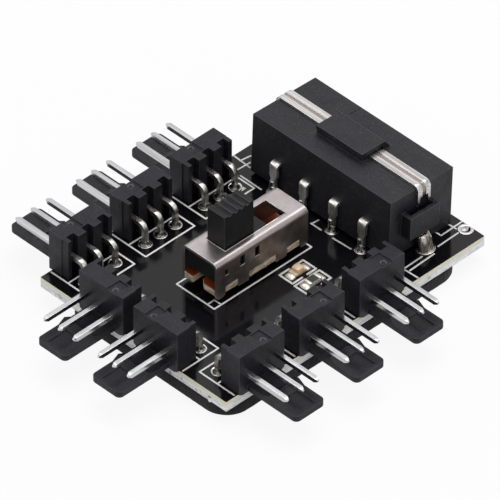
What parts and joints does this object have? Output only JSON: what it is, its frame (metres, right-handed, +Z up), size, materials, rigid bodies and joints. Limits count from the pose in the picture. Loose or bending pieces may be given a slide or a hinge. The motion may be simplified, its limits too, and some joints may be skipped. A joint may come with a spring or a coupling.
{
  "type": "pc fan controller hub",
  "caption": "Small square circuit board hub with angled fan headers round its edges, a power socket at the back and a slide switch in the middle.",
  "frame": {"origin": "on the underside of the foam pad, below the middle of the circuit board", "axes": "+X to the right along the front edge, +Y back towards the power socket, +Z up from the board's top face"},
  "size_m": [0.0497, 0.0527, 0.0146],
  "materials": {
    "board_mask": "glossy black solder mask on glass laminate",
    "foam_pad": "matt black foam",
    "header_plastic": "matt black moulded plastic",
    "socket_plastic": "matt black moulded plastic",
    "tinned_pin": "bright tin plate",
    "tinned_contact": "bright tin plate",
    "strap_metal": "bright tinned strip",
    "solder": "shiny solder",
    "shell_nickel": "dull nickel plate",
    "phenolic": "red-brown paper laminate",
    "knob_plastic": "satin black moulded plastic",
    "switch_brass": "silvered brass",
    "led_resin": "peach coloured resin",
    "chip_body": "black glazed ceramic with tinned ends"
  },
  "bodies": {
    "hub": {"base_pad": "foam_pad", "chip_resistor": "chip_body", "chip_solder": "solder", "circuit_board": "board_mask", "fan_header_front_1": "header_plastic", "fan_header_front_2": "header_plastic", "fan_header_left_1": "header_plastic", "fan_header_left_2": "header_plastic", "fan_header_left_3": "header_plastic", "fan_header_right_1": "header_plastic", "fan_header_right_2": "header_plastic", "fan_header_right_3": "header_plastic", "header_solder": "solder", "hold_down_strap": "strap_metal", "indicator_led": "led_resin", "pin_front_1_1": "tinned_pin", "pin_front_1_2": "tinned_pin", "pin_front_1_3": "tinned_pin", "pin_front_2_1": "tinned_pin", "pin_front_2_2": "tinned_pin", "pin_front_2_3": "tinned_pin", "pin_left_1_1": "tinned_pin", "pin_left_1_2": "tinned_pin", "pin_left_1_3": "tinned_pin", "pin_left_2_1": "tinned_pin", "pin_left_2_2": "tinned_pin", "pin_left_2_3": "tinned_pin", "pin_left_3_1": "tinned_pin", "pin_left_3_2": "tinned_pin", "pin_left_3_3": "tinned_pin", "pin_right_1_1": "tinned_pin", "pin_right_1_2": "tinned_pin", "pin_right_1_3": "tinned_pin", "pin_right_2_1": "tinned_pin", "pin_right_2_2": "tinned_pin", "pin_right_2_3": "tinned_pin", "pin_right_3_1": "tinned_pin", "pin_right_3_2": "tinned_pin", "pin_right_3_3": "tinned_pin", "power_contact_1": "tinned_contact", "power_contact_2": "tinned_contact", "power_contact_3": "tinned_contact", "power_contact_4": "tinned_contact", "power_socket": "socket_plastic", "power_solder": "solder", "strap_solder": "solder", "switch_base": "phenolic", "switch_shell": "shell_nickel", "switch_terminal_1": "switch_brass", "switch_terminal_2": "switch_brass", "switch_terminal_3": "switch_brass", "switch_terminal_4": "switch_brass", "switch_terminal_5": "switch_brass", "switch_terminal_6": "switch_brass", "switch_terminal_7": "switch_brass", "switch_terminal_8": "switch_brass", "via_solder": "solder"},
    "slider": {"switch_slider": "knob_plastic", "bridge_contact_left": "switch_brass", "bridge_contact_right": "switch_brass"}
  },
  "joints": [
    {"name": "switch_slide", "type": "slide", "parent": "hub", "child": "slider", "axis": [0, 1, 0], "range_m": [0, 0.005]}
  ]
}
